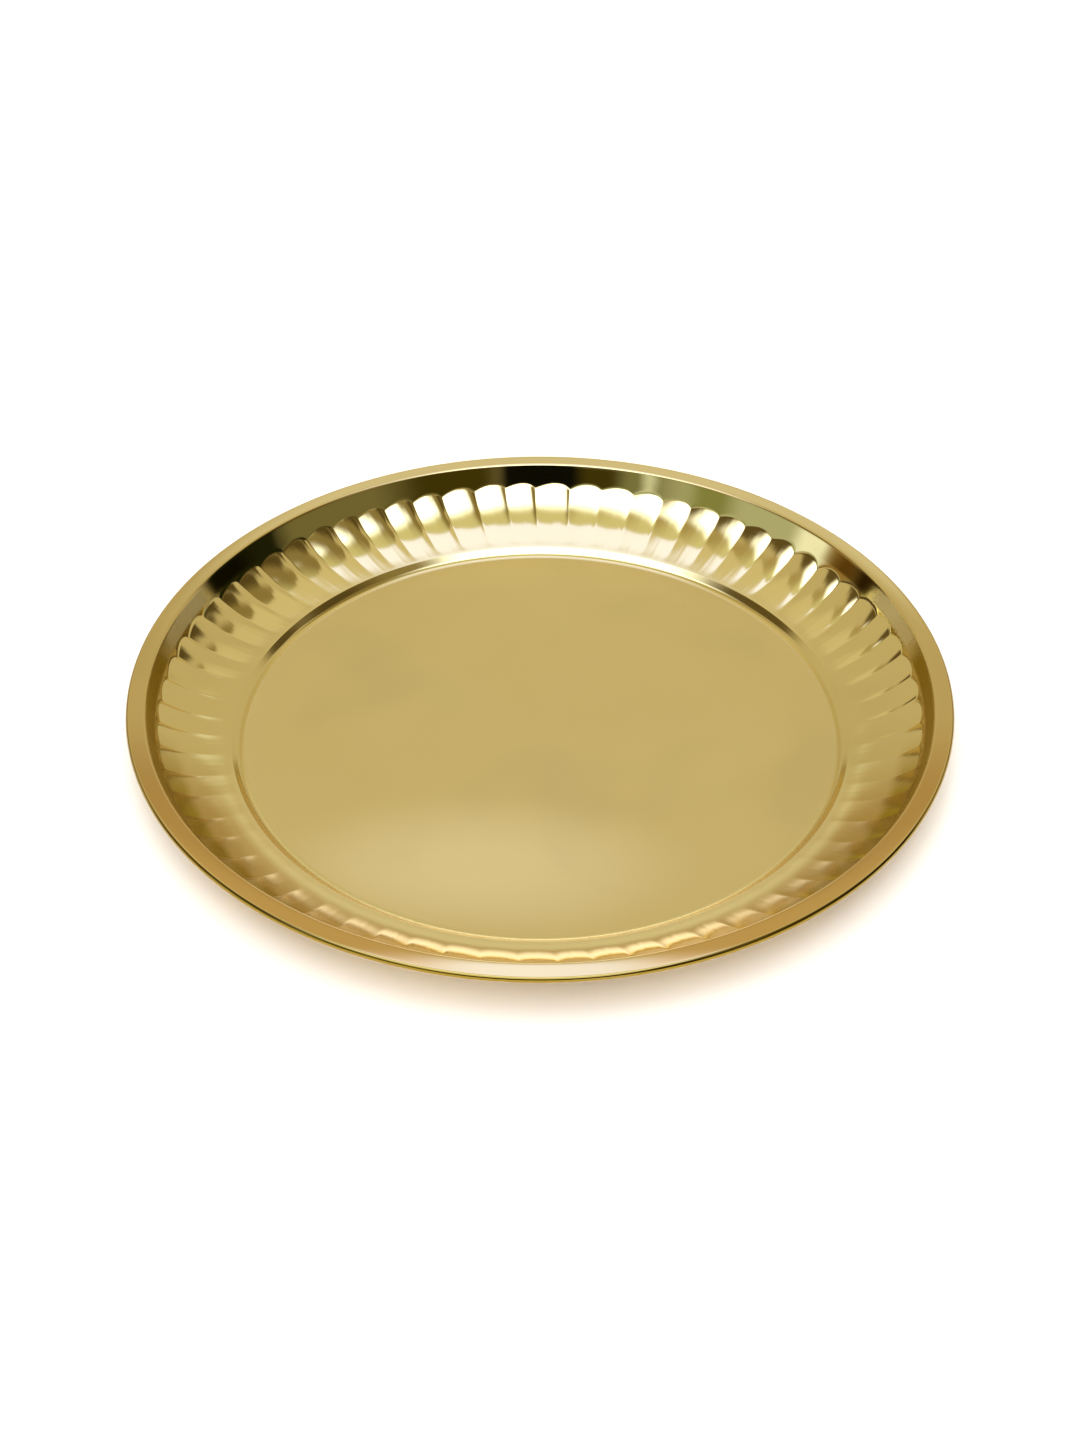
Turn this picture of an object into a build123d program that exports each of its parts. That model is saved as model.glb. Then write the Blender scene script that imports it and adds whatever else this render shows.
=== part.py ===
from build123d import *
import math
import os

# All lengths are in millimetres, all angles in degrees.
# The origin is the centre of the base's underside, and +Z is up.

# the sheet
sheet = 0.6
rim_radius = 150.0

# the base and its step
floor_radius = 109.5
floor_fillet = 5.0
step_radius = 113.2
step_height = 2.7
step_edge_round = 0.9
ledge_slope = 6.7
ledge_join_radius = 114.8

# the lobed wall between the ledge and the band
lobe_count = 67
lobe_foot_radius = 116.0
lobe_foot_slope = 11.0
lobe_top_radius = 139.3
lobe_top_height = 15.3
lobe_round = 32.0

# the steep plain band above the lobes
band_slope = 62.5
band_join_height = 17.6
band_edge_round = 1.1

# the flat flange and the curled edge
flange_slope = 5.0
curl_height = 20.6
wire_clearance = 0.05
wire_radius = 0.7
curl_wrap = 268.0

# the ends of the stiffening wire stand this far apart
wire_gap = 1.0

# a lobe is shaped in a block this many lobes wide, with this much to spare beyond the sheet
block_lobes = 3
solid_spare = 10.0
hollow_spare = 11.0


def slope(angle):
    """Rise per unit of run of a line at the angle."""
    return math.tan(math.radians(angle))


def turned(angle):
    """Unit direction in the section, turned from the outward direction."""
    return math.cos(math.radians(angle)), math.sin(math.radians(angle))


def in_section(radius, height):
    """Point of the section, which stands in the XZ plane."""
    return Vector(radius, 0, height)


def crossing(point_a, slope_a, point_b, slope_b):
    """Point where two sloping lines of the section meet."""
    rise_a = slope(slope_a)
    rise_b = slope(slope_b)
    radius_a, height_a = point_a
    radius_b, height_b = point_b
    radius = (height_b - height_a + rise_a * radius_a - rise_b * radius_b) / (rise_a - rise_b)
    return radius, height_a + rise_a * (radius - radius_a)


def below(point, angle, depth):
    """Point moved squarely off a line at the angle, towards the underside."""
    along, up = turned(angle - 90)
    return point[0] + depth * along, point[1] + depth * up


# heights that follow from the dimensions above
floor_top = sheet
step_top = floor_top + step_height
lobe_pitch = 360.0 / lobe_count
curl_inner = wire_radius + wire_clearance
curl_outer = curl_inner + sheet
curl_radius = rim_radius - curl_outer
ledge_edge = (step_radius, step_top)
band_foot = (lobe_top_radius, lobe_top_height)


def flange_corner(depth):
    """Where the band and the flange would meet if their edge were sharp."""
    out, up = turned(90 - flange_slope)
    touch = (curl_radius + (curl_outer - depth) * out, curl_height + (curl_outer - depth) * up)
    return crossing(below(band_foot, band_slope, depth), band_slope, touch, -flange_slope)


def crest_arc():
    """Centre and radius of the arc along a lobe's crest, from the ledge up to the band."""
    foot_height = step_top + slope(ledge_slope) * (lobe_foot_radius - step_radius)
    run = lobe_top_radius - lobe_foot_radius
    rise = lobe_top_height - foot_height
    half_turn = math.degrees(math.atan2(rise, run)) - lobe_foot_slope
    radius = math.hypot(run, rise) / (2 * math.sin(math.radians(half_turn)))
    along, up = turned(lobe_foot_slope + 90)
    return lobe_foot_radius + radius * along, foot_height + radius * up, radius


def base_section():
    """Half section of the floor, the step and the start of the ledge."""
    def side(depth):
        ledge = below(ledge_edge, ledge_slope, depth)
        riser = math.degrees(math.atan2(step_height, step_radius - floor_radius))
        level = (0, floor_top - depth)
        foot = crossing(level, 0, below(ledge_edge, riser, depth), riser)
        edge = crossing(ledge, ledge_slope, below(ledge_edge, riser, depth), riser)
        end_height = ledge[1] + slope(ledge_slope) * (ledge_join_radius - ledge[0])
        return [level, foot, edge, (ledge_join_radius, end_height)]

    top = [in_section(*point) for point in side(0)]
    under = [in_section(*point) for point in side(sheet)]
    top_line = FilletPolyline(*top, radius=[floor_fillet, step_edge_round])
    under_line = FilletPolyline(*under, radius=[floor_fillet + sheet, step_edge_round - sheet])
    ends = [Line(top[0], under[0]), Line(top[-1], under[-1])]
    return make_face([top_line, under_line] + ends)


def rim_section():
    """Half section of the band, the flange and the curled edge."""
    def side(depth):
        foot = below(band_foot, band_slope, depth)
        start_radius = foot[0] + (band_join_height - foot[1]) / slope(band_slope)
        out, up = turned(90 - flange_slope)
        reach = curl_outer - depth
        end = (curl_radius + reach * out, curl_height + reach * up)
        return [(start_radius, band_join_height), flange_corner(depth), end]

    def curl(radius):
        centre = in_section(curl_radius, curl_height)
        points = []
        for share in (0, 0.5, 1):
            out, up = turned(90 - flange_slope - share * curl_wrap)
            points.append(centre + in_section(radius * out, radius * up))
        return ThreePointArc(*points)

    top = [in_section(*point) for point in side(0)]
    under = [in_section(*point) for point in side(sheet)]
    top_line = FilletPolyline(*top, radius=band_edge_round)
    under_line = FilletPolyline(*under, radius=band_edge_round - sheet)
    outer = curl(curl_outer)
    inner = curl(curl_inner)
    ends = [Line(top[0], under[0]), Line(outer @ 1, inner @ 1)]
    return make_face([top_line, under_line, outer, inner] + ends)


def plain_wall(depth, reach, angle):
    """Solid under the ledge and behind the band, without the lobes, over part of a turn."""
    ledge = below(ledge_edge, ledge_slope, depth)
    band = below(band_foot, band_slope, depth)
    inside = lobe_foot_radius - reach
    outside = rim_radius + reach
    ledge_height = ledge[1] + slope(ledge_slope) * (inside - ledge[0])
    corner = crossing(ledge, ledge_slope, band, band_slope)
    lid = curl_height + reach
    band_radius = band[0] + (lid - band[1]) / slope(band_slope)
    outline = [(inside, -reach), (inside, ledge_height), corner, (band_radius, lid)]
    outline += [(outside, lid), (outside, -reach)]
    section = make_face(Polyline(*[in_section(*point) for point in outline], close=True))
    return revolve(section, Axis.Z, angle).rotate(Axis.Z, -angle / 2)


def lobe_tube(depth):
    """Thick bent tube whose inner side is the face of one lobe."""
    centre_radius, centre_height, radius = crest_arc()
    centre = in_section(centre_radius, centre_height)
    start = ledge_slope
    sweep_angle = band_slope - start
    out, up = turned(start - 90)
    tube_centre = centre + in_section(out, up) * (radius + lobe_round)
    along, rise = turned(start)
    plane = Plane(tube_centre, x_dir=(0, 1, 0), z_dir=(along, 0, rise))
    section = plane * Circle(lobe_round - depth)
    return revolve(section, Axis(centre, (0, -1, 0)), sweep_angle)


def lobe_piece():
    """One lobe of the wall, as a slice of the sheet one pitch wide."""
    wide = block_lobes * lobe_pitch
    solid = plain_wall(0, solid_spare, wide) + lobe_tube(0)
    hollow = plain_wall(sheet, hollow_spare, wide + lobe_pitch) + lobe_tube(sheet)
    box = [(ledge_join_radius, 0), (ledge_join_radius, band_join_height)]
    box += [(rim_radius, band_join_height), (rim_radius, 0)]
    section = make_face(Polyline(*[in_section(*point) for point in box], close=True))
    slice_space = revolve(section, Axis.Z, lobe_pitch).rotate(Axis.Z, -lobe_pitch / 2)
    return (solid - hollow) & slice_space


def tray_pan():
    """The pressed sheet: floor, step, ledge, lobed wall, band, flange and curled edge."""
    base = revolve(base_section(), Axis.Z)
    rim = revolve(rim_section(), Axis.Z)
    lobe = lobe_piece().solid()
    lobes = [lobe.rotate(Axis.Z, lobe_pitch * place) for place in range(lobe_count)]
    return base.solid().fuse(rim.solid(), *lobes).clean()


def rim_wire():
    """The round wire that lies inside the curled edge, bent into a hoop with its ends apart."""
    gap_angle = math.degrees(wire_gap / curl_radius)
    plane = Plane(in_section(curl_radius, curl_height), x_dir=(1, 0, 0), z_dir=(0, -1, 0))
    section = plane * Circle(wire_radius)
    return revolve(section, Axis.Z, 360 - gap_angle)


os.makedirs("parts", exist_ok=True)
export_step(tray_pan(), "parts/tray_pan.step")
export_step(rim_wire(), "parts/rim_wire.step")
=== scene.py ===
import math

import bpy
import numpy as np
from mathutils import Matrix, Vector


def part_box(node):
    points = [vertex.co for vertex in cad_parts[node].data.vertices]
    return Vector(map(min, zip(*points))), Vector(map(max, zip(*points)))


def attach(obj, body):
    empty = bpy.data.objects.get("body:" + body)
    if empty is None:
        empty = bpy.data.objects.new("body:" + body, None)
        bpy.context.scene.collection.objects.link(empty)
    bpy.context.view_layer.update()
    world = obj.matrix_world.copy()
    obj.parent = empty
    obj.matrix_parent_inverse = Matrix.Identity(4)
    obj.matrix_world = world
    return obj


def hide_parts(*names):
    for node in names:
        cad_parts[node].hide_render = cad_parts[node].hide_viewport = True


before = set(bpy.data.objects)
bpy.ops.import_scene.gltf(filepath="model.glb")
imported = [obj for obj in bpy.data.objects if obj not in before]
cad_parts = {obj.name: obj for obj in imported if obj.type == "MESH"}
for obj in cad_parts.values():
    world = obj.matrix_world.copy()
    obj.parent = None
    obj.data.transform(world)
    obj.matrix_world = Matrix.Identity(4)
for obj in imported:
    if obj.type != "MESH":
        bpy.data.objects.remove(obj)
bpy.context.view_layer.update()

# The pressed sheet is meshed again here, with lobes that differ a little. The wire is the CAD's own mesh.

MM = 0.001

# ---------------------------------------------------------------- sizes, in millimetres and degrees
low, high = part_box("tray_pan")
RIM_RADIUS = min(high.x, high.y, -low.x, -low.y) / MM
RIM_TOP = high.z / MM
SHEET = 0.6
FLOOR_TOP = SHEET
FLOOR_RADIUS = 110.0
FLOOR_FILLET = 5.0
STEP_RADIUS = 113.2
STEP_HEIGHT = 2.7
STEP_EDGE_ROUND = 0.8
LEDGE_SLOPE = 6.7
LEDGE_JOIN = 114.8

LOBES = 67
LOBE_FOOT = (116.0, 3.63)
LOBE_TOP = (139.3, 15.3)
LOBE_FOOT_SLOPE = 11.0
LOBE_ROUND = 26.0
LOBE_POWER = 2.4
CREST_SINES = (-0.5, 0.9)    # the crest's arc goes no further than these
LOBE_SWELL = (117.0, 134.0)
LOBE_FOOT_SHARE = 0.22
CREASE_BLEND = 0.10
FOOT_BLEND = 0.25
TOP_BLEND = 0.45
WIDE_LOBE_AZIMUTH = 128.0
WIDE_LOBE_SHARE = 1.42
LOBE_UNEVEN = 0.3
LOBE_SEED = 67
LOBE_SKEW = 0.20
BULGE = (0.85, 1.15)
BULGE_SEED = 5
NEAR_FLATTER = 0.5
NEAR_STRETCH = 0.06

BAND_SLOPE = 62.5
BAND_JOIN = 17.6
BAND_EDGE_ROUND = 1.1
FLANGE_SLOPE = 5.0
FLANGE_INNER = 143.75
FLANGE_BOW = 0.05
CURL_HEIGHT = 20.6
CURL_INNER = 0.75
CURL_OUTER = CURL_INNER + SHEET
CURL_RADIUS = RIM_RADIUS - CURL_OUTER
CURL_WRAP = 268.0

LEAN_SMALL = -0.5
LEAN_LARGE = 1.5
LEAN_GROWS = (0.08, 0.20)   # as shares of a turn
LEAN_CURVE = 0.7

# ---------------------------------------------------------------- how finely the mesh is divided
TOP_COLUMNS = 20            # columns across one lobe on the upper face
UNDER_COLUMNS = 8           # on the wall's underside
PLAIN_COLUMNS = 4           # where the sheet is plain
MIDDLE_THINNED = 4          # the middle of the floor has one column for this many
MIDDLE_RADIUS = 40.0
FIRST_RING = 4.0
COLUMN_CROWDING = 0.4       # how far the columns crowd towards the creases
LOBE_ROWS_FROM = 119.0
BAND_ROWS_FROM = 136.5
FOOT_ROWS, LOBE_ROWS, BAND_ROWS = 7, 19, 17
UNDER_ROWS = 22
FLOOR_ROW, UNDER_FLOOR_ROW = 12.0, 14.0
FLANGE_ROW, UNDER_FLANGE_ROW = 1.2, 1.9
FILLET_STEPS, STEP_EDGE_STEPS = 8, 6
BEND_STEPS, UNDER_BEND_STEPS = 8, 4
CURL_STEPS, INNER_CURL_STEPS = 20, 10
SLOPE_PROBE = 0.02          # the distance over which the wall's slope is measured

UPPER, LOWER = 0, 1         # the sheet's material slots


def rise(angle):
    """Rise per unit of run of a line at the angle."""
    return math.tan(math.radians(angle))


def crossing(a, slope_a, b, slope_b):
    """Where two sloping lines of the section meet."""
    r = (b[1] - a[1] + rise(slope_a) * a[0] - rise(slope_b) * b[0]) / (rise(slope_a) - rise(slope_b))
    return r, a[1] + rise(slope_a) * (r - a[0])


def below(point, angle, depth):
    """A point moved squarely off a sloping line, towards the underside."""
    turn = math.radians(angle - 90)
    return point[0] + depth * math.cos(turn), point[1] + depth * math.sin(turn)


def rounded(points, radii, steps):
    """Points along a line of the section with its inner corners rounded."""
    line = [np.array(points[0], float)]
    for i, (radius, count) in enumerate(zip(radii, steps), start=1):
        before, corner, after = (np.array(points[j], float) for j in (i - 1, i, i + 1))
        a = (before - corner) / np.linalg.norm(before - corner)
        b = (after - corner) / np.linalg.norm(after - corner)
        half = math.acos(float(np.clip(a @ b, -1, 1))) / 2
        middle = corner + (a + b) / np.linalg.norm(a + b) * radius / math.sin(half)
        start = corner + a * radius / math.tan(half) - middle
        end = corner + b * radius / math.tan(half) - middle
        turn = math.atan2(start[0] * end[1] - start[1] * end[0], start @ end)
        for share in np.linspace(0, 1, count + 1):
            c, s = math.cos(turn * share), math.sin(turn * share)
            line.append(middle + np.array([c * start[0] - s * start[1], s * start[0] + c * start[1]]))
    line.append(np.array(points[-1], float))
    return line


def divided(line, longest):
    """The same line with its long straight stretches divided."""
    out = [line[0]]
    for a, b in zip(line, line[1:]):
        parts = max(1, math.ceil(np.linalg.norm(b - a) / longest - 1e-6))
        out += [a + (b - a) * k / parts for k in range(1, parts + 1)]
    return out


# ---------------------------------------------------------------- the lobes
def lobe_edges():
    """Azimuth of each crease, in radians, from the wide lobe round to it again."""
    width = np.ones(LOBES)
    width[0] = WIDE_LOBE_SHARE
    edge = np.concatenate([[0], np.cumsum(width)]) / width.sum() * 2 * math.pi
    edge += math.radians(WIDE_LOBE_AZIMUTH) - edge[1] / 2
    random = np.random.default_rng(LOBE_SEED)
    edge[1:-1] += random.uniform(-1, 1, LOBES - 1) * math.radians(LOBE_UNEVEN)
    return edge + NEAR_STRETCH * np.sin(edge)


def smooth_max(a, b, blend):
    """The larger of two heights, rounded over where they are nearly equal."""
    gap = np.clip(blend - np.abs(a - b), 0, None)
    return np.maximum(a, b) + gap * gap / (4 * blend)


def crest_arc():
    """Radius and centre of the arc along a lobe's crest, from its foot up to the band."""
    run = LOBE_TOP[0] - LOBE_FOOT[0]
    lift = LOBE_TOP[1] - LOBE_FOOT[1]
    start = math.radians(LOBE_FOOT_SLOPE)
    half_turn = math.atan2(lift, run) - start
    radius = math.hypot(run, lift) / (2 * math.sin(half_turn))
    return radius, LOBE_FOOT[0] - radius * math.sin(start), LOBE_FOOT[1] + radius * math.cos(start)


ARC, ARC_R, ARC_Z = crest_arc()


def skewed(across):
    """The place across a lobe, shifted so that its crest lies a little to one side."""
    return across + LOBE_SKEW * (1 - across * across)


def wall_height(r, across, sag):
    """Height of the wall's upper face at radius r; across goes from -1 to 1 over one lobe."""
    ledge = FLOOR_TOP + STEP_HEIGHT + rise(LEDGE_SLOPE) * (r - STEP_RADIUS)
    band = LOBE_TOP[1] + rise(BAND_SLOPE) * (r - LOBE_TOP[0])
    sine = np.clip((r - ARC_R) / ARC, *CREST_SINES)
    crest = ARC_Z - ARC * np.sqrt(1 - sine * sine)
    swell = np.clip((r - LOBE_SWELL[0]) / (LOBE_SWELL[1] - LOBE_SWELL[0]), 0, 1)
    swell = LOBE_FOOT_SHARE + (1 - LOBE_FOOT_SHARE) * swell * swell * (3 - 2 * swell)
    depth = swell * sag * r * r
    own = -depth * np.abs(skewed(across)) ** LOBE_POWER
    next_lobe = -depth * np.abs(skewed(across - 2 * np.sign(across))) ** LOBE_POWER
    lobe = crest + smooth_max(own, next_lobe, CREASE_BLEND) / np.sqrt(1 - sine * sine)
    return smooth_max(smooth_max(ledge, lobe, FOOT_BLEND), band, TOP_BLEND)


def lobe_leans():
    """How far each crease has turned by its upper end, which grows from the wide lobe round."""
    start, end = LEAN_GROWS
    share = np.clip((np.arange(LOBES + 1) / LOBES - start) / (end - start), 0, 1)
    lean = LEAN_SMALL + (LEAN_LARGE - LEAN_SMALL) * share * share * (3 - 2 * share)
    lean[0] = LEAN_LARGE
    return np.radians(lean)


def crease_sags(edge):
    """How deep each crease is, over its radius squared; the lobes are flatter on the near side."""
    width = np.diff(edge)
    half = (width + np.roll(width, 1)) / 4
    bulge = np.random.default_rng(BULGE_SEED).uniform(*BULGE, LOBES)
    near = 0.5 + 0.5 * np.cos(edge[:-1])
    sag = bulge * (1 - NEAR_FLATTER * near * near) * half * half / (2 * LOBE_ROUND)
    return np.append(sag, sag[0])


def over_lobes(at_creases, share):
    """Values given at the creases, run evenly across each lobe."""
    return (at_creases[:-1, None] + np.diff(at_creases)[:, None] * share).ravel()


def wall_grid(radii, columns):
    """Points and normals of the wall's upper face, one row for each radius."""
    edge = lobe_edges()
    share = np.arange(columns) / columns
    share = share - COLUMN_CROWDING * np.sin(2 * math.pi * share) / (2 * math.pi)
    across = np.tile(2 * share - 1, LOBES)
    half = np.repeat(np.diff(edge) / 2, len(share))
    azimuth = over_lobes(edge, share)
    lean = over_lobes(lobe_leans(), share)
    sag = over_lobes(crease_sags(edge), share)
    radii = np.asarray(radii, float)[:, None]
    climb = np.clip((radii - LEDGE_JOIN) / (LOBE_TOP[0] - LEDGE_JOIN), 0, 1)
    height = wall_height(radii, across, sag)
    probe = SLOPE_PROBE
    outward_slope = (wall_height(radii + probe, across, sag)
                     - wall_height(radii - probe, across, sag)) / (2 * probe)
    turn = probe / (radii * half)
    round_slope = (wall_height(radii, across + turn, sag)
                   - wall_height(radii, across - turn, sag)) / (2 * probe)
    angle = azimuth + lean * climb ** LEAN_CURVE
    out = np.stack([np.sin(angle), -np.cos(angle), np.zeros_like(angle)], -1)
    along = np.stack([np.cos(angle), np.sin(angle), np.zeros_like(angle)], -1)
    up = np.zeros_like(out)
    up[..., 2] = 1
    points = out * radii[..., None] + up * height[..., None]
    normals = up - out * outward_slope[..., None] - along * round_slope[..., None]
    normals /= np.linalg.norm(normals, axis=-1, keepdims=True)
    return points, normals, angle


def base_line(depth):
    """The floor, the step and the start of the ledge, from the middle outwards."""
    riser = math.degrees(math.atan2(STEP_HEIGHT, STEP_RADIUS - FLOOR_RADIUS))
    edge = (STEP_RADIUS, FLOOR_TOP + STEP_HEIGHT)
    level = (FIRST_RING, FLOOR_TOP - depth)
    foot = crossing(level, 0, below(edge, riser, depth), riser)
    top = crossing(below(edge, LEDGE_SLOPE, depth), LEDGE_SLOPE, below(edge, riser, depth), riser)
    end = below((LEDGE_JOIN, edge[1] + rise(LEDGE_SLOPE) * (LEDGE_JOIN - edge[0])), LEDGE_SLOPE, depth)
    radii = [FLOOR_FILLET + depth, STEP_EDGE_ROUND - depth]
    return rounded([level, foot, top, end], radii, [FILLET_STEPS, STEP_EDGE_STEPS])


def band_start(depth):
    """Where the lobed wall ends and the plain band goes on."""
    foot = below(LOBE_TOP, BAND_SLOPE, depth)
    return foot[0] + (BAND_JOIN - foot[1]) / rise(BAND_SLOPE), BAND_JOIN


def rim_line():
    """The band, the flange and the curl, out along the upper face and back along the lower one."""
    def side(depth, count):
        turn = math.radians(90 - FLANGE_SLOPE)
        reach = CURL_OUTER - depth
        touch = (CURL_RADIUS + reach * math.cos(turn), CURL_HEIGHT + reach * math.sin(turn))
        corner = crossing(below(LOBE_TOP, BAND_SLOPE, depth), BAND_SLOPE, touch, -FLANGE_SLOPE)
        return rounded([band_start(depth), corner, touch], [BAND_EDGE_ROUND - depth], [count])

    def curl(radius, count):
        turns = np.radians(90 - FLANGE_SLOPE - np.linspace(0, CURL_WRAP, count + 1))
        return [np.array([CURL_RADIUS + radius * math.cos(t), CURL_HEIGHT + radius * math.sin(t)])
                for t in turns]

    def bow(line):
        """The flange is pressed slightly convex."""
        inner, outer = FLANGE_INNER, line[-1][0]
        out = []
        for r, z in line:
            share = (r - inner) / (outer - inner)
            bowed = z + max(0.0, 4 * FLANGE_BOW * share * (1 - share))
            out.append(np.array([r, min(bowed, RIM_TOP)]))
        return out

    upper = bow(divided(side(0, BEND_STEPS), FLANGE_ROW))
    lower = bow(divided(side(SHEET, UNDER_BEND_STEPS), UNDER_FLANGE_ROW))
    outside = curl(CURL_OUTER, CURL_STEPS)
    inside = curl(CURL_INNER, INNER_CURL_STEPS)
    return upper[:-1] + outside + inside[::-1] + lower[-2::-1]


# ---------------------------------------------------------------- meshes
def ring(line_point, azimuths):
    """A level ring of points through a point of the section."""
    r, z = line_point
    return np.stack([r * np.sin(azimuths), -r * np.cos(azimuths), np.full(len(azimuths), z)], -1)


def join_rings(rings, materials):
    """Faces between neighbouring rings; where one has fewer points, triangles close the gap."""
    faces, slots = [], []
    starts = np.concatenate([[0], np.cumsum([len(r) for r in rings])])
    for i in range(len(rings) - 1):
        a, b = len(rings[i]), len(rings[i + 1])
        sa, sb = starts[i], starts[i + 1]
        few = min(a, b)
        ka, kb = a // few, b // few
        for k in range(few):
            left = [sa + (k * ka + j) % a for j in range(ka + 1)]
            right = [sb + (k * kb + j) % b for j in range(kb + 1)]
            if ka == kb:
                faces.append((left[0], right[0], right[1], left[1]))
                slots.append(materials[i])
                continue
            many, other, flip = (left, right, True) if ka > kb else (right, left, False)
            middle = len(many) // 2
            new = [(many[j], many[j + 1], other[0]) for j in range(middle)]
            new.append((many[middle], other[1], other[0]))
            new += [(many[j], many[j + 1], other[1]) for j in range(middle, len(many) - 1)]
            faces += [tuple(reversed(f)) for f in new] if flip else new
            slots += [materials[i]] * len(new)
    return faces, slots


def close_ring(start, count, centre, flip):
    """Triangles from a ring to the point at its middle."""
    faces = [(start + k, start + (k + 1) % count, centre) for k in range(count)]
    return [tuple(reversed(f)) for f in faces] if flip else faces


def make_object(name, points, faces, slots, materials):
    """A smooth mesh object from points in millimetres."""
    mesh = bpy.data.meshes.new(name)
    mesh.from_pydata([tuple(p * MM) for p in points], [], [tuple(int(i) for i in f) for f in faces])
    for material in materials:
        mesh.materials.append(material)
    mesh.polygons.foreach_set("material_index", slots)
    mesh.polygons.foreach_set("use_smooth", [True] * len(mesh.polygons))
    mesh.update()
    obj = bpy.data.objects.new(name, mesh)
    bpy.context.scene.collection.objects.link(obj)
    return obj


def tray_sheet(upper, lower):
    """The whole pressed sheet as one closed mesh."""
    top_radii = np.concatenate([
        np.linspace(LEDGE_JOIN, LOBE_ROWS_FROM, FOOT_ROWS)[:-1],
        np.linspace(LOBE_ROWS_FROM, BAND_ROWS_FROM, LOBE_ROWS)[:-1],
        np.linspace(BAND_ROWS_FROM, band_start(0)[0], BAND_ROWS),
    ])
    wall, _, angle = wall_grid(top_radii, TOP_COLUMNS)
    inner = angle[0][::TOP_COLUMNS // PLAIN_COLUMNS]
    outer = angle[-1][::TOP_COLUMNS // PLAIN_COLUMNS]

    rings, slots = [], []

    def add(points, slot):
        rings.append(points)
        slots.append(slot)

    def base_ring(point):
        return ring(point, inner[::MIDDLE_THINNED] if point[0] < MIDDLE_RADIUS else inner)

    for point in divided(base_line(0), FLOOR_ROW)[:-1]:
        add(base_ring(point), UPPER)
    for row in wall:
        add(row, UPPER)
    rim = rim_line()
    lip = next(i for i, p in enumerate(rim) if p[0] > CURL_RADIUS and p[1] < CURL_HEIGHT)
    for i, point in enumerate(rim[1:-1]):
        add(ring(point, outer), UPPER if i < lip else LOWER)

    under_radii = np.linspace(LEDGE_JOIN, band_start(0)[0], UNDER_ROWS)
    points, normals, _ = wall_grid(under_radii, UNDER_COLUMNS)
    for row in (points - SHEET * normals)[::-1]:
        add(row, LOWER)
    for point in divided(base_line(SHEET), UNDER_FLOOR_ROW)[::-1][1:]:
        add(base_ring(point), LOWER)

    faces, face_slots = join_rings(rings, slots)
    points = np.concatenate(rings)
    first, last = len(rings[0]), len(rings[-1])
    top_middle, low_middle = len(points), len(points) + 1
    points = np.concatenate([points, [[0, 0, FLOOR_TOP], [0, 0, 0]]])
    caps = close_ring(0, first, top_middle, False)
    faces += caps
    face_slots += [UPPER] * len(caps)
    caps = close_ring(len(points) - 2 - last, last, low_middle, True)
    faces += caps
    face_slots += [LOWER] * len(caps)
    return make_object("tray_sheet", points, faces, face_slots, [upper, lower])


# ---------------------------------------------------------------- materials
SATIN_BRASS = (0.86, 0.67, 0.235)
BRIGHT_BRASS = (0.86, 0.66, 0.25)
WALL_BRASS = (0.93, 0.76, 0.31)
# painted reflection: the near half's wall, a darker honey, for the dark things it mirrors
NEAR_REFLECTION_BRASS = (0.66, 0.44, 0.12)
# painted reflection: dark gold where the tray mirrors itself, on the near lobes' steep tops and on the near
# band off the middle
DARK_REFLECTION_HONEY = (0.45, 0.30, 0.01)
# painted reflection: the near flange beside its highlight, pinker and darker
PINK_REFLECTION_BRASS = (0.74, 0.47, 0.14)
# painted shade: the curl darkened for the darker floor it mirrors
CURL_SHADE_BRASS = (0.32, 0.21, 0.03)
# painted highlight: a pale glow on the floor's near left, for the overhead light it mirrors
PAINTED_GLOW_BRASS = (0.97, 0.78, 0.31)
# painted reflection: a pale stretch of the band, part way back
PALE_REFLECTION_BAND = (0.94, 0.82, 0.50)
# painted reflection: a brown stretch of the far band, for the dark things it mirrors
BROWN_REFLECTION_BAND = (0.32, 0.20, 0.04)
TARNISH = (0.46, 0.38, 0.16)
UNDER_BRASS = (0.80, 0.60, 0.24)
UNDER_TARNISH = (0.62, 0.43, 0.15)
DARK_STEEL = (0.42, 0.41, 0.39)
PALE_STEEL = (0.60, 0.59, 0.57)
RUST = (0.26, 0.14, 0.07)
SMUDGE = 0.13

# where one finish or painted colour gives way to another: distances from the axis, in millimetres
FLOOR_END = (107.0, 109.0)
SATIN_END = (108.5, 110.0)
STEP_START = (109.0, 110.0)
FLOOR_TO_WALL = (110.0, 111.0)
STEP_END = (114.0, 116.0)
LEDGE_TO_LOBES = (116.0, 122.0)
LOBES_START = (117.0, 121.0)
MIRROR_END = (138.0, 140.0)
BAND_START = (139.4, 140.2)
BAND_TO_FLANGE = (142.3, 142.8)
FLANGE_START = (142.5, 143.5)
FLANGE_END = (148.6, 149.0)
FLANGE_TO_CURL = (149.0, 149.5)

# the same by the distance to either side, or by y, which grows away from the camera
PINK_BESIDE = (18.0, 50.0)
OFF_CENTRE = (38.0, 75.0)
NEAR_SIDE = (-10.0, -60.0)
DARK_BAND_END = (32.0, 18.0)
PALE_BAND_ENDS = (20.0, 34.0), (66.0, 56.0)
BROWN_BAND_ENDS = (60.0, 68.0), (90.0, 78.0)
# an oval on the floor's near left: a painted glow in the colour, and duller brass
WIPED_GLOW_MIDDLE = (-22.0, -72.0)
WIPED_GLOW_HALF = (85.0, 42.0)
WIPED_GLOW_EDGE = (1.0, 0.1)     # as shares of that half
STEEP = (0.885, 0.82)       # the upward part of the normal, from gentle to steep

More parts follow.
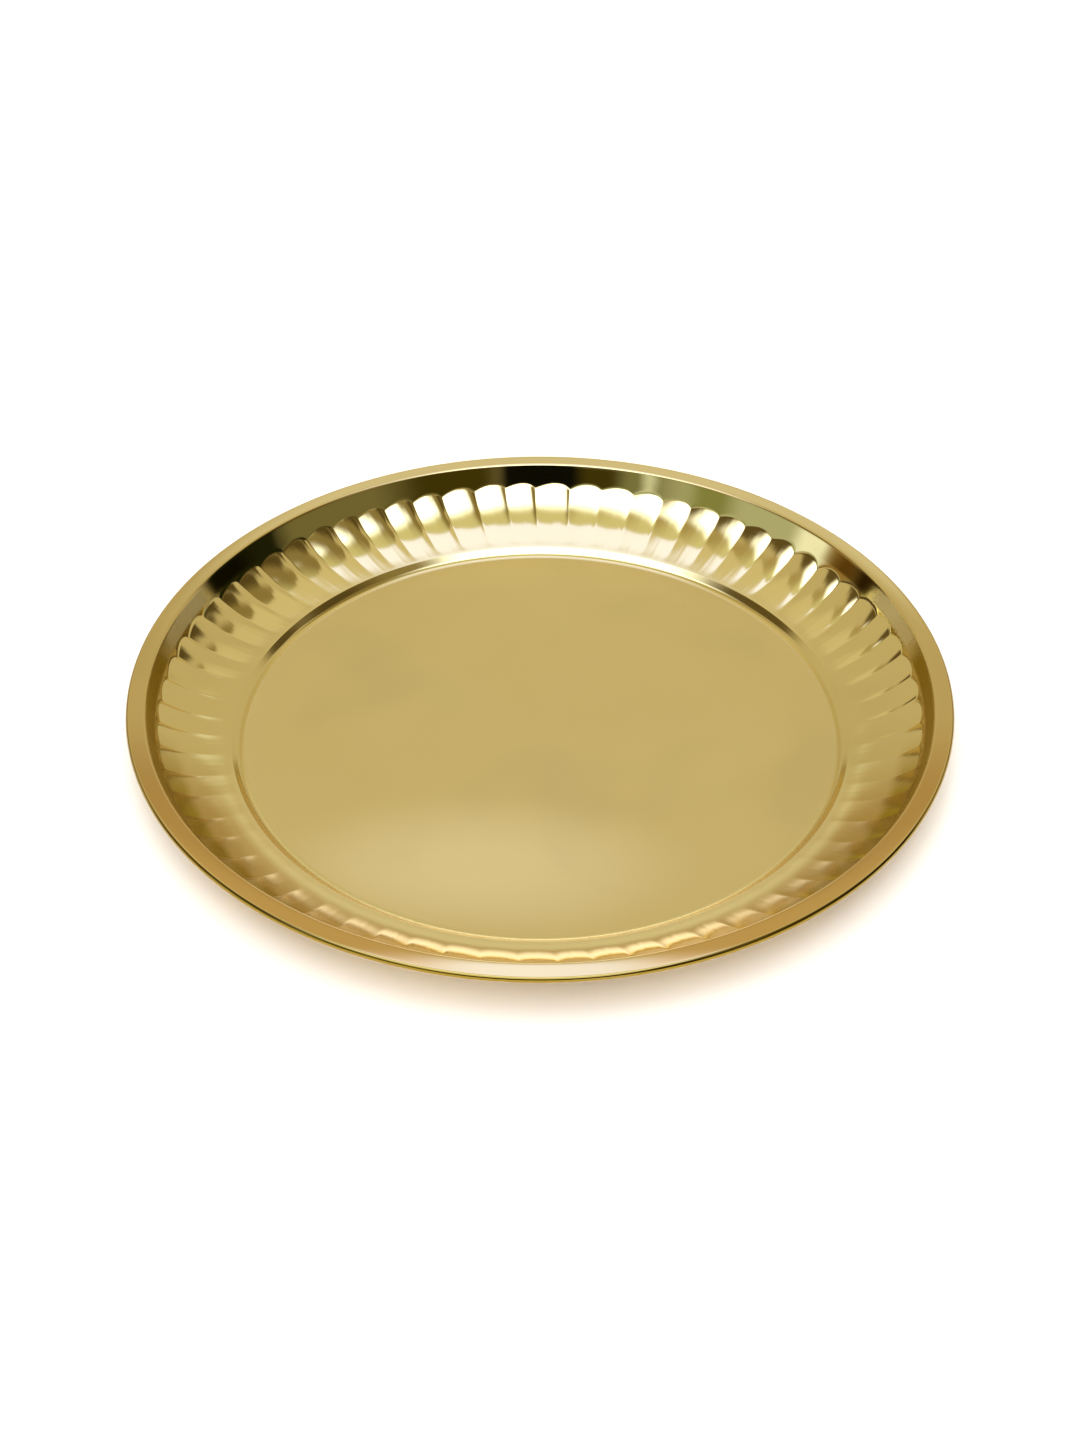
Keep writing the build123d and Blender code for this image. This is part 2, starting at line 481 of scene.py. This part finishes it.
# roughness: first the levels of the five finishes, then what the duller places add
SATIN, MIRROR, RIM, UNDER, WIRE = 0.29, 0.11, 0.06, 0.26, 0.34
WIPED_DULLER = 0.16
BAND_DULLER = 0.24
NEAR_STEP_DULLER = 0.14
NEAR_LOBES_DULLER = 0.10
RUST_DULLER = 0.30

# how dense the clouds have to be for what they bring, from none of it to all of it
SMUDGE_CLOUD = (0.50, 0.72)
TARNISH_CLOUD = (0.34, 0.76)
RUST_CLOUD = (0.58, 0.72)


class Nodes:
    """Short names for the maths nodes of one node tree."""

    def __init__(self, tree):
        self.tree = tree

    def value(self, kind, a, b=None):
        """One sum or other calculation."""
        node = self.tree.nodes.new("ShaderNodeMath")
        node.operation = kind
        for socket, given in zip(node.inputs, (a, b)):
            if given is None:
                continue
            if isinstance(given, (int, float)):
                socket.default_value = given
            else:
                self.tree.links.new(given, socket)
        return node.outputs[0]

    def step(self, given, start, end):
        """Goes smoothly from 0 at start to 1 at end."""
        node = self.tree.nodes.new("ShaderNodeMapRange")
        node.interpolation_type = "SMOOTHSTEP"
        node.inputs["From Min"].default_value = start
        node.inputs["From Max"].default_value = end
        self.tree.links.new(given, node.inputs["Value"])
        if start > end:
            node.inputs["From Min"].default_value = end
            node.inputs["From Max"].default_value = start
            node.inputs["To Min"].default_value = 1
            node.inputs["To Max"].default_value = 0
        return node.outputs["Result"]

    def step_mm(self, given, ends):
        """The same, for a length and with the ends in millimetres."""
        start, end = ends
        return self.step(given, start * MM, end * MM)

    def blend(self, share, a, b):
        """A number between a and b."""
        node = self.tree.nodes.new("ShaderNodeMix")
        for socket, given in ((node.inputs[0], share), (node.inputs[2], a), (node.inputs[3], b)):
            if isinstance(given, (int, float)):
                socket.default_value = given
            else:
                self.tree.links.new(given, socket)
        return node.outputs[0]

    def both(self, first, *others):
        """The product of several shares."""
        for other in others:
            first = self.value("MULTIPLY", first, other)
        return first

    def mix(self, share, a, b):
        """A colour between a and b."""
        node = self.tree.nodes.new("ShaderNodeMix")
        node.data_type = "RGBA"
        for socket, given in ((node.inputs[0], share), (node.inputs[6], a), (node.inputs[7], b)):
            if isinstance(given, (tuple, float, int)):
                socket.default_value = given if isinstance(given, (float, int)) else (*given, 1)
            else:
                self.tree.links.new(given, socket)
        return node.outputs[2]


def shader(name):
    """A new material, its node tree and its shader."""
    material = bpy.data.materials.new(name)
    material.use_nodes = True
    tree = material.node_tree
    return material, tree, tree.nodes["Principled BSDF"]


def object_place(tree):
    """The place on the object, as three numbers."""
    place = tree.nodes.new("ShaderNodeTexCoord").outputs["Object"]
    split = tree.nodes.new("ShaderNodeSeparateXYZ")
    tree.links.new(place, split.inputs[0])
    return split.outputs


def distance_out(nodes, tree):
    """Distance from the tray's axis."""
    x, y, _ = object_place(tree)
    return nodes.value("SQRT", nodes.value("ADD", nodes.both(x, x), nodes.both(y, y)))


def steepness(tree):
    """The upward part of the surface's own normal: 1 where it is level, less where it slopes."""
    normal = tree.nodes.new("ShaderNodeTexCoord").outputs["Normal"]
    split = tree.nodes.new("ShaderNodeSeparateXYZ")
    tree.links.new(normal, split.inputs[0])
    return split.outputs[2]


def noise(tree, scale, detail, place=None):
    """Cloudy numbers about 0.5; place is three numbers, or the place on the object."""
    node = tree.nodes.new("ShaderNodeTexNoise")
    node.inputs["Scale"].default_value = scale
    node.inputs["Detail"].default_value = detail
    if place is None:
        tree.links.new(tree.nodes.new("ShaderNodeTexCoord").outputs["Object"], node.inputs["Vector"])
    else:
        joined = tree.nodes.new("ShaderNodeCombineXYZ")
        for socket, part in zip(joined.inputs, place):
            tree.links.new(part, socket)
        tree.links.new(joined.outputs[0], node.inputs["Vector"])
    return node.outputs["Fac"]


def polish_lines(nodes, tree, across, along):
    """Fine streaks that run round the tray, as a polishing wheel leaves them."""
    x, y, height = object_place(tree)
    radius = distance_out(nodes, tree)
    outwards = nodes.both(nodes.value("ADD", radius, height), across)
    place = (outwards, nodes.both(nodes.value("DIVIDE", x, radius), along),
             nodes.both(nodes.value("DIVIDE", y, radius), along))
    return noise(tree, scale=1.0, detail=3.0, place=place)


def by_radius(nodes, tree, *zones):
    """A value by the distance from the axis: the first zone's, then (ends, value) for each further zone."""
    radius = distance_out(nodes, tree)
    result = zones[0]
    for ends, value in zones[1:]:
        share = nodes.step_mm(radius, ends)
        if isinstance(value, tuple):
            result = nodes.mix(share, result, value)
        else:
            result = nodes.blend(share, result, value)
    return result


def varied(nodes, level, cloud, amount):
    """A level raised or lowered by up to half the amount where the cloud is dense or thin."""
    return nodes.value("ADD", level, nodes.both(nodes.value("SUBTRACT", cloud, 0.5), amount))


class BrassZones:
    """The places on the upper face where the brass differs, each a share from 0 to 1: painted reflections,
    shade and glow, duller places, and tarnish.
    """

    def __init__(self, nodes, tree):
        x, y, _ = object_place(tree)
        aside = nodes.value("ABSOLUTE", x)
        beside = nodes.step_mm(aside, PINK_BESIDE)
        off_centre = nodes.step_mm(aside, OFF_CENTRE)
        flange = by_radius(nodes, tree, 0.0, (FLANGE_START, 1.0), (FLANGE_END, 0.0))
        lobes = by_radius(nodes, tree, 0.0, (LOBES_START, 1.0), (BAND_TO_FLANGE, 0.0))
        band = by_radius(nodes, tree, 0.0, (BAND_START, 1.0), (BAND_TO_FLANGE, 0.0))
        step = by_radius(nodes, tree, 0.0, (STEP_START, 1.0), (STEP_END, 0.0))
        floor = by_radius(nodes, tree, 1.0, (FLOOR_END, 0.0))
        steep = nodes.step(steepness(tree), *STEEP)
        # the near half: its colour carries painted darker reflections, and its step and lobes are duller
        self.near = nodes.step_mm(y, NEAR_SIDE)
        # painted reflection: the flange beside the near highlight
        self.pink = nodes.both(flange, beside)
        self.near_step = nodes.both(step, self.near)
        self.near_lobes = nodes.both(lobes, self.near, off_centre)
        # painted reflection on the steep tops of the near lobes
        self.steep_lobes = nodes.both(steep, self.near_lobes)
        # painted reflection on the near band, off the middle
        self.dark_band = nodes.both(band, nodes.step_mm(y, DARK_BAND_END), off_centre)
        # painted reflection on the band, part way back
        self.pale_band = nodes.both(band, *[nodes.step_mm(y, ends) for ends in PALE_BAND_ENDS])
        # painted reflection on the far band
        self.brown_band = nodes.both(band, *[nodes.step_mm(y, ends) for ends in BROWN_BAND_ENDS])
        # the floor's near left: a painted glow in the colour, and duller brass
        away = []
        for given, middle, half in zip((x, y), WIPED_GLOW_MIDDLE, WIPED_GLOW_HALF):
            across = nodes.value("DIVIDE", nodes.value("SUBTRACT", given, middle * MM), half * MM)
            away.append(nodes.both(across, across))
        distance = nodes.value("SQRT", nodes.value("ADD", *away))
        self.wiped_and_glow = nodes.both(nodes.step(distance, *WIPED_GLOW_EDGE), floor)
        self.smudge = nodes.both(nodes.step(noise(tree, scale=14.0, detail=2.0), *SMUDGE_CLOUD), SMUDGE)


def brass_colour(nodes, tree, zones):
    """Plain brass on the far side and painted darker reflections on the near side, both with painted shade
    on the curl; the painted reflections on the band, the painted glow on the floor and the tarnish are laid
    over.
    """
    # the curl's colour, in both, is a painted shade for the darker floor it mirrors
    clean = by_radius(nodes, tree, SATIN_BRASS, (FLOOR_TO_WALL, WALL_BRASS),
                      (BAND_TO_FLANGE, BRIGHT_BRASS), (FLANGE_TO_CURL, CURL_SHADE_BRASS))
    # painted reflections: the near half's wall a darker honey
    near_painted = by_radius(nodes, tree, SATIN_BRASS, (FLOOR_TO_WALL, BRIGHT_BRASS), (LEDGE_TO_LOBES, NEAR_REFLECTION_BRASS),
                     (BAND_TO_FLANGE, BRIGHT_BRASS), (FLANGE_TO_CURL, CURL_SHADE_BRASS))
    # painted reflection: the near flange tinted pink beside its highlight
    near_painted = nodes.mix(zones.pink, near_painted, PINK_REFLECTION_BRASS)
    colour = nodes.mix(zones.near, clean, near_painted)
    # painted dark reflections on the near lobes' steep tops and on the near band
    colour = nodes.mix(zones.steep_lobes, colour, DARK_REFLECTION_HONEY)
    colour = nodes.mix(zones.dark_band, colour, DARK_REFLECTION_HONEY)
    # painted pale reflection on the band
    colour = nodes.mix(zones.pale_band, colour, PALE_REFLECTION_BAND)
    # painted brown reflection on the far band
    colour = nodes.mix(zones.brown_band, colour, BROWN_REFLECTION_BAND)
    # painted glow on the floor's near left
    colour = nodes.mix(zones.wiped_and_glow, colour, PAINTED_GLOW_BRASS)
    return nodes.mix(zones.smudge, colour, TARNISH)


def brass_roughness(nodes, tree, zones):
    """Satin on the floor and mirror-polished above it, duller in places."""
    satin = varied(nodes, SATIN, noise(tree, scale=20.0, detail=3.0), amount=0.08)
    satin = varied(nodes, satin, polish_lines(nodes, tree, across=700.0, along=1.0), amount=0.02)
    satin = nodes.value("ADD", satin, nodes.both(zones.wiped_and_glow, WIPED_DULLER))
    mirror = varied(nodes, MIRROR, polish_lines(nodes, tree, across=1500.0, along=2.0), amount=0.06)
    rim = varied(nodes, RIM, polish_lines(nodes, tree, across=2500.0, along=3.0), amount=0.04)
    rough = by_radius(nodes, tree, satin, (SATIN_END, mirror), (MIRROR_END, rim))
    blurred_band = nodes.value("MAXIMUM", zones.dark_band, zones.pale_band)
    for zone, duller in ((blurred_band, BAND_DULLER), (zones.near_step, NEAR_STEP_DULLER),
                         (zones.near_lobes, NEAR_LOBES_DULLER)):
        rough = nodes.value("ADD", rough, nodes.both(zone, duller))
    return rough


def brass_upper():
    """Bright brass: satin on the floor, mirror-polished above it, a little tarnished in places, with
    painted reflections, shade and a painted glow in its colour.
    """
    material, tree, surface = shader("brass_polished")
    nodes = Nodes(tree)
    zones = BrassZones(nodes, tree)
    surface.inputs["Metallic"].default_value = 1
    tree.links.new(brass_colour(nodes, tree, zones), surface.inputs["Base Color"])
    tree.links.new(brass_roughness(nodes, tree, zones), surface.inputs["Roughness"])
    return material


def brass_lower():
    """The underside: spun marks and brown tarnish."""
    material, tree, surface = shader("brass_underside")
    nodes = Nodes(tree)
    surface.inputs["Metallic"].default_value = 1
    tarnish = nodes.step(noise(tree, scale=16.0, detail=6.0), *TARNISH_CLOUD)
    tree.links.new(nodes.mix(tarnish, UNDER_BRASS, UNDER_TARNISH), surface.inputs["Base Color"])
    marks = polish_lines(nodes, tree, across=900.0, along=1.5)
    rough = varied(nodes, varied(nodes, UNDER, marks, amount=0.16), tarnish, amount=0.10)
    tree.links.new(rough, surface.inputs["Roughness"])
    return material


def wire_steel():
    """Drawn steel wire, with die marks along it and a little brown rust."""
    material, tree, surface = shader("drawn_steel")
    nodes = Nodes(tree)
    surface.inputs["Metallic"].default_value = 1
    marks = polish_lines(nodes, tree, across=9000.0, along=4.0)
    rust = nodes.step(noise(tree, scale=120.0, detail=5.0), *RUST_CLOUD)
    grey = nodes.mix(marks, DARK_STEEL, PALE_STEEL)
    tree.links.new(nodes.mix(rust, grey, RUST), surface.inputs["Base Color"])
    rough = nodes.value("ADD", varied(nodes, WIRE, marks, amount=0.16), nodes.both(rust, RUST_DULLER))
    tree.links.new(rough, surface.inputs["Roughness"])
    return material


sheet = tray_sheet(brass_upper(), brass_lower())
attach(sheet, "root")
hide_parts("tray_pan")
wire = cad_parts["rim_wire"]
for material_slot in wire.material_slots:
    material_slot.material = wire_steel()

# ---------------------------------------------------------------- stage
STAGE_INNER = 0.1078        # metres, just inside the edge of the tray's base
STAGE_OUTER = 5.0
STAGE_SIDES = 96
STAGE_COLOUR = (0.92, 0.82, 0.56, 1)
STAGE_ROUGHNESS = 0.8


def stage_floor():
    """A pale floor, clear from below and open under the tray's base, so that the underside can be seen."""
    vertices = []
    for radius in (STAGE_INNER, STAGE_OUTER):
        for side in range(STAGE_SIDES):
            angle = math.tau * side / STAGE_SIDES
            vertices.append((radius * math.cos(angle), radius * math.sin(angle), 0))
    faces = []
    for side in range(STAGE_SIDES):
        after = (side + 1) % STAGE_SIDES
        faces.append((side, side + STAGE_SIDES, after + STAGE_SIDES, after))
    mesh = bpy.data.meshes.new("stage_floor")
    mesh.from_pydata(vertices, [], faces)
    material, tree, surface = shader("stage_white")
    surface.inputs["Base Color"].default_value = STAGE_COLOUR
    surface.inputs["Roughness"].default_value = STAGE_ROUGHNESS
    from_below = tree.nodes.new("ShaderNodeNewGeometry").outputs["Backfacing"]
    tree.links.new(Nodes(tree).value("SUBTRACT", 1.0, from_below), surface.inputs["Alpha"])
    mesh.materials.append(material)
    obj = bpy.data.objects.new("stage_floor", mesh)
    bpy.context.scene.collection.objects.link(obj)
    return obj


stage_floor()

# ---------------------------------------------------------------- the studio around the tray
WALL = (0.56, 0.50, 0.38)
WHITE_BOX = (2.05, 2.35, 3.6)
CREAM_BOX = (1.11, 1.24, 2.35)

# things round the tray that the metal mirrors: colour, azimuth range, elevation range and edge softness,
# in degrees; azimuth 0 is behind the tray, 90 to its right, 180 on the camera's side
SURROUNDINGS = [
    ((0.45, 0.50, 0.46), (-172, -92), (-90, 40), 5),
    ((0.20, 0.21, 0.13), (-172, -142), (-90, 30), 10),
    ((0.24, 0.27, 0.13), (-136, -124), (-90, 30), 4),
    ((0.70, 0.80, 0.90), (-150, -147), (17, 26), 2),
    ((0.95, 1.05, 1.30), (-103, -92), (6, 14), 3),
    ((0.30, 0.20, 0.08), (-92, -82), (-90, 18), 3),
    ((0.06, 0.04, 0.015), (-82, -70), (-90, 18), 3),
    ((0.11, 0.08, 0.03), (-112, -68), (26, 46), 4),
    ((0.11, 0.08, 0.03), (-112, -72), (40, 56), 3),
    ((0.17, 0.16, 0.09), (100, 150), (-90, 44), 4),
    ((0.05, 0.04, 0.006), (139, 172), (-90, 32), 9),
    ((0.09, 0.065, 0.025), (60, 112), (24, 40), 3),
    ((0.09, 0.065, 0.025), (71, 112), (40, 56), 3),
    ((0.012, 0.014, 0.004), (74, 103), (-90, 30), 4),
    ((0.05, 0.04, 0.006), (-172, -157), (-90, 24), 3),
    ((0.74, 0.75, 0.76), (-12, 12), (18, 34), 5),
    ((1.90, 2.10, 3.00), (-7, 7), (-90, 12), 4),
    ((0.74, 0.75, 0.76), (10, 17), (18, 31), 3),
]

CAMERA_GAP_SIDE = (166, 171)            # a black gap straight behind the camera, in degrees
CAMERA_GAP_TOP = (34, 28)
CAMERA_GAP = (0.004, 0.004, 0.002)

# Overhead the shapes are drawn on a level ceiling, with its height as the unit.
FAN_SLOPE = 0.55                        # a fan-shaped line, which divides the gap from what is overhead
BEFORE_FAN = (0.20, 0.14)
PAST_FAN = (0.14, 0.20)
GAP_MIDDLE = (0.68, 0.68, 0.52)
GAP_RIGHT = (0.26, 0.21, 0.10)
GAP_LEFT = (0.42, 0.35, 0.20)
GAP_RIGHT_FROM = (0.15, 0.50)
GAP_LEFT_FROM = (-0.15, -0.60)
GAP_SIDE = (0.90, 0.62)
GAP_FROM = (38, 46)                     # elevation
WHITE_BOX_BEND = 0.42
WHITE_BOX_EDGE = (0.02, -0.22)
WHITE_BOX_LEFT = (-0.85, -0.50)
WHITE_BOX_RIGHT = (0.54, 0.30)
WHITE_BOX_FROM = (33, 37)               # elevation
GLOW = (0.67, 0.62, 0.50)
GLOW_MIDDLE = 0.50
GLOW_HALF = (0.85, 0.50)
GLOW_EDGE = (1.2, 0.4)
CREAM_BOX_HALF = 0.42
CREAM_BOX_TAPER = 0.44
CREAM_BOX_SIDE = (0.05, -0.05)
CREAM_BOX_END = (0.95, 0.82)
LOWEST_UP = 0.02


def room_walls(nodes, azimuth, elevation):
    """The walls with every patch of the surroundings laid over them, in turn."""
    room = WALL
    for colour, (left, right), (bottom, top), soft in SURROUNDINGS:
        share = nodes.both(nodes.step(azimuth, left - soft, left + soft),
                           nodes.step(azimuth, right + soft, right - soft),
                           nodes.step(elevation, bottom - soft, bottom + soft),
                           nodes.step(elevation, top + soft, top - soft))
        room = nodes.mix(share, room, colour)
    behind = nodes.value("ABSOLUTE", azimuth)
    gap = nodes.both(nodes.step(behind, *CAMERA_GAP_SIDE), nodes.step(elevation, *CAMERA_GAP_TOP))
    return nodes.mix(gap, room, CAMERA_GAP)


def behind_boxes(nodes, room, over_x, over_y, side, fan, elevation):
    """The gap between the light boxes, and the white box on the camera's side of it."""
    colour = nodes.mix(nodes.step(over_x, *GAP_RIGHT_FROM), GAP_MIDDLE, GAP_RIGHT)
    colour = nodes.mix(nodes.step(over_x, *GAP_LEFT_FROM), colour, GAP_LEFT)
    gap = nodes.both(nodes.step(fan, *BEFORE_FAN), nodes.step(side, *GAP_SIDE),
                     nodes.step(elevation, *GAP_FROM))
    room = nodes.mix(gap, room, colour)
    bend = nodes.value("MULTIPLY", nodes.both(over_x, over_x), WHITE_BOX_BEND)
    bent = nodes.value("SUBTRACT", over_y, bend)
    white_box = nodes.both(nodes.step(bent, *WHITE_BOX_EDGE), nodes.step(elevation, *WHITE_BOX_FROM),
                           nodes.step(over_x, *WHITE_BOX_LEFT), nodes.step(over_x, *WHITE_BOX_RIGHT))
    return nodes.mix(white_box, room, WHITE_BOX)


def overhead_boxes(nodes, room, over_y, side, fan):
    """The soft glow overhead, and the cream box in it."""
    across = nodes.value("POWER", nodes.value("DIVIDE", side, GLOW_HALF[0]), 2)
    from_middle = nodes.value("DIVIDE", nodes.value("SUBTRACT", over_y, GLOW_MIDDLE), GLOW_HALF[1])
    along = nodes.value("POWER", nodes.value("ABSOLUTE", from_middle), 2)
    glow = nodes.both(nodes.step(nodes.value("ADD", across, along), *GLOW_EDGE), nodes.step(fan, *PAST_FAN))
    room = nodes.mix(glow, room, GLOW)
    half = nodes.value("SUBTRACT", CREAM_BOX_HALF, nodes.value("MULTIPLY", over_y, CREAM_BOX_TAPER))
    beyond = nodes.value("SUBTRACT", side, half)
    cream_box = nodes.both(nodes.step(beyond, *CREAM_BOX_SIDE), nodes.step(over_y, *CREAM_BOX_END),
                           nodes.step(fan, *PAST_FAN))
    return nodes.mix(cream_box, room, CREAM_BOX)


def studio():
    """The room that the brass mirrors, as the world round the tray."""
    world = bpy.data.worlds.new("studio")
    bpy.context.scene.world = world
    world.use_nodes = True
    tree = world.node_tree
    nodes = Nodes(tree)
    place = tree.nodes.new("ShaderNodeTexCoord").outputs["Generated"]
    split = tree.nodes.new("ShaderNodeSeparateXYZ")
    tree.links.new(place, split.inputs[0])
    x, y, z = split.outputs
    azimuth = nodes.value("DEGREES", nodes.value("ARCTAN2", x, y))
    elevation = nodes.value("DEGREES", nodes.value("ARCSINE", z))
    up = nodes.value("MAXIMUM", z, LOWEST_UP)
    over_x = nodes.value("DIVIDE", x, up)
    over_y = nodes.value("DIVIDE", y, up)
    side = nodes.value("ABSOLUTE", over_x)
    fan = nodes.value("SUBTRACT", over_y, nodes.value("MULTIPLY", side, FAN_SLOPE))

    room = room_walls(nodes, azimuth, elevation)
    room = behind_boxes(nodes, room, over_x, over_y, side, fan, elevation)
    room = overhead_boxes(nodes, room, over_y, side, fan)
    tree.links.new(room, tree.nodes["Background"].inputs["Color"])


studio()

COOL = (0.61, 0.69, 1.0)


def lamp(name, size, energy, place, tilt):
    """A round cool light that faces down, tilted forward or back, and that nothing mirrors."""
    data = bpy.data.lights.new(name, "AREA")
    data.shape = "DISK"
    data.size = size
    data.energy = energy
    data.color = COOL
    obj = bpy.data.objects.new(name, data)
    bpy.context.scene.collection.objects.link(obj)
    obj.location = place
    obj.rotation_euler = (math.radians(tilt), 0, 0)
    obj.visible_glossy = False
    obj.visible_camera = False


lamp("floor_light", size=3.0, energy=58, place=(0, -0.3, 1.8), tilt=-9)
lamp("front_light", size=1.6, energy=26, place=(0, -1.3, 0.65), tilt=66)

# ---------------------------------------------------------------- camera
DISTANCE = 1.05                         # metres, from the middle of the rim
ELEVATION = math.radians(38.93)
AIM_DOWN = math.radians(0.578)
SENSOR = 36
LENS = 72.1
rim_centre = Vector((0, 0, CURL_HEIGHT * MM))
camera_data = bpy.data.cameras.new("camera")
camera = bpy.data.objects.new("camera", camera_data)
bpy.context.scene.collection.objects.link(camera)
camera.location = rim_centre + Vector((0, -math.cos(ELEVATION), math.sin(ELEVATION))) * DISTANCE
camera.rotation_euler = (math.pi / 2 - ELEVATION - AIM_DOWN, 0, 0)
camera_data.sensor_width = SENSOR
camera_data.lens = LENS
bpy.context.scene.camera = camera
bpy.context.scene.view_settings.view_transform = "Standard"
